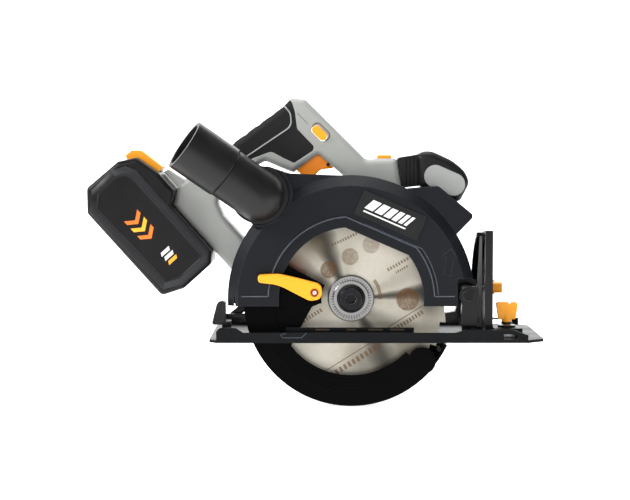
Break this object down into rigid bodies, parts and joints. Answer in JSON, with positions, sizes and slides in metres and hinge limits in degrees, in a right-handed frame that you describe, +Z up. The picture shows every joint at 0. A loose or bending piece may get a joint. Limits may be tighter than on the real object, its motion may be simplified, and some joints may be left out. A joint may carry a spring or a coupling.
{
  "type": "circular saw",
  "caption": "Cordless circular saw with a swinging lower guard, tilting base, swivelling dust port and slide-on battery pack.",
  "frame": {"origin": "on the base's underside plane, below the spindle, in the blade's middle plane", "axes": "+X forward in the cutting direction, +Y from the blade towards the motor, +Z up"},
  "size_m": [0.3819, 0.1925, 0.2584],
  "materials": {
    "housing_grey": "fine moulded texture",
    "black_plastic": "fine moulded texture",
    "navy_metal": "textured powder coat",
    "black_metal": "satin black paint",
    "soft_grip": "textured soft overmould",
    "orange_plastic": "satin moulded",
    "yellow_plastic": "satin moulded",
    "blade_steel": "brushed radial grain",
    "bright_steel": "machined",
    "black_steel": "black oxide",
    "cast_alloy": "as cast",
    "core_steel": "laminated",
    "cell_wrap": "wrapped cell",
    "board_green": "solder mask",
    "contact_brass": "tinned",
    "label_black": "satin label",
    "rubber_black": "rubber"
  },
  "bodies": {
    "saw": {"gearbox_case": "cast_alloy", "gearbox_cover": "cast_alloy", "housing_near": "housing_grey", "housing_far": "housing_grey", "motor_cap": "black_plastic", "stator_core": "core_steel", "motor_bearings": "bright_steel", "spindle_bearings": "bright_steel", "grip_overmould": "soft_grip", "front_handle": "soft_grip", "handle_inset": "housing_grey", "trigger_pin": "bright_steel", "trigger_switch": "black_plastic", "control_board": "board_green", "terminal_block": "black_plastic", "battery_contacts": "contact_brass", "housing_screws": "black_steel", "upper_guard": "navy_metal", "name_plate": "label_black", "guard_screws": "black_steel", "guard_spring": "bright_steel", "pivot_pin": "black_steel", "depth_bolt": "black_steel", "depth_washer": "bright_steel"},
    "blade": {"saw_blade": "blade_steel", "inner_flange": "bright_steel", "outer_flange": "bright_steel", "blade_bolt": "black_steel", "spindle": "bright_steel", "spindle_gear": "core_steel"},
    "rotor": {"pinion": "black_steel", "motor_shaft": "bright_steel", "rotor_core": "core_steel", "cooling_fan": "black_plastic"},
    "lower_guard": {"lower_guard": "black_plastic", "guard_bumper": "rubber_black", "retract_lever": "yellow_plastic", "lever_screw": "bright_steel"},
    "trigger": {"trigger": "orange_plastic"},
    "lock_off": {"lock_off_button": "yellow_plastic"},
    "spindle_lock": {"spindle_lock_button": "yellow_plastic"},
    "dust_port": {"dust_port": "black_plastic"},
    "depth_link": {"pivot_casting": "black_metal", "rear_bracket": "black_metal", "bevel_stud": "black_steel"},
    "base": {"base_plate": "navy_metal", "front_lug": "black_metal", "rear_lug": "black_metal", "bevel_pins": "bright_steel", "bevel_quadrant": "black_metal", "fence_washer": "bright_steel"},
    "bevel_knob": {"bevel_knob": "orange_plastic"},
    "fence_screw": {"fence_screw": "orange_plastic"},
    "depth_lever": {"depth_lever": "black_metal"},
    "battery": {"battery_shell_near": "black_plastic", "battery_shell_far": "black_plastic", "battery_panel": "label_black", "battery_cells": "cell_wrap"},
    "battery_latch": {"battery_latch": "yellow_plastic"}
  },
  "joints": [
    {"name": "blade_spin", "type": "hinge", "parent": "saw", "child": "blade", "pos_m": [0, 0, 0.0345], "axis": [0, 1, 0], "continuous": true},
    {"name": "motor_spin", "type": "hinge", "parent": "saw", "child": "rotor", "pos_m": [-0.00895, 0, 0.0605], "axis": [0, 1, 0], "continuous": true},
    {"name": "guard_swing", "type": "hinge", "parent": "saw", "child": "lower_guard", "pos_m": [0, 0, 0.0345], "axis": [0, 1, 0], "range_deg": [0, 105], "stiffness_Nm_per_rad": 0.25, "springref_deg": -57.3},
    {"name": "trigger_pull", "type": "hinge", "parent": "saw", "child": "trigger", "pos_m": [-0.0192, 0.032, 0.1466], "axis": [0, 1, 0], "range_deg": [0, 12], "stiffness_Nm_per_rad": 1.5, "springref_deg": -5.73},
    {"name": "lock_off_push", "type": "slide", "parent": "saw", "child": "lock_off", "axis": [0, 1, 0], "range_m": [-0.002, 0.002], "stiffness_N_per_m": 800},
    {"name": "spindle_lock_push", "type": "slide", "parent": "saw", "child": "spindle_lock", "axis": [0, 0, -1], "range_m": [0, 0.0022], "stiffness_N_per_m": 900, "springref_m": -0.001},
    {"name": "dust_port_swivel", "type": "hinge", "parent": "saw", "child": "dust_port", "pos_m": [-0.0764, -0.017, 0.1222], "axis": [0, 1, 0], "range_deg": [-60, 60]},
    {"name": "depth_swing", "type": "hinge", "parent": "saw", "child": "depth_link", "pos_m": [0.098, 0, 0.038], "axis": [0, -1, 0], "range_deg": [0, 18]},
    {"name": "bevel_tilt", "type": "hinge", "parent": "depth_link", "child": "base", "pos_m": [0, -0.007, 0.006], "axis": [-1, 0, 0], "range_deg": [0, 45]},
    {"name": "bevel_knob_turn", "type": "hinge", "parent": "depth_link", "child": "bevel_knob", "pos_m": [0.1185, 0.04957, 0.03999], "axis": [1, 0, 0], "range_deg": [-90, 90]},
    {"name": "fence_screw_turn", "type": "hinge", "parent": "base", "child": "fence_screw", "pos_m": [0.1315, 0.001, 0.015], "axis": [0, 0, 1], "range_deg": [-90, 90]},
    {"name": "depth_lever_swing", "type": "hinge", "parent": "saw", "child": "depth_lever", "pos_m": [-0.07799, 0.02, 0.03616], "axis": [0, 1, 0], "range_deg": [-15, 25]},
    {"name": "battery_slide", "type": "slide", "parent": "saw", "child": "battery", "axis": [-0.6691, 0, 0.7431], "range_m": [0, 0.07]},
    {"name": "latch_press", "type": "slide", "parent": "battery", "child": "battery_latch", "axis": [-0.7431, 0, -0.6691], "range_m": [0, 0.0025], "stiffness_N_per_m": 900, "springref_m": -0.001}
  ],
  "couplings": [
    {"joint": "motor_spin", "follows": "blade_spin", "ratio": -5.1111}
  ]
}
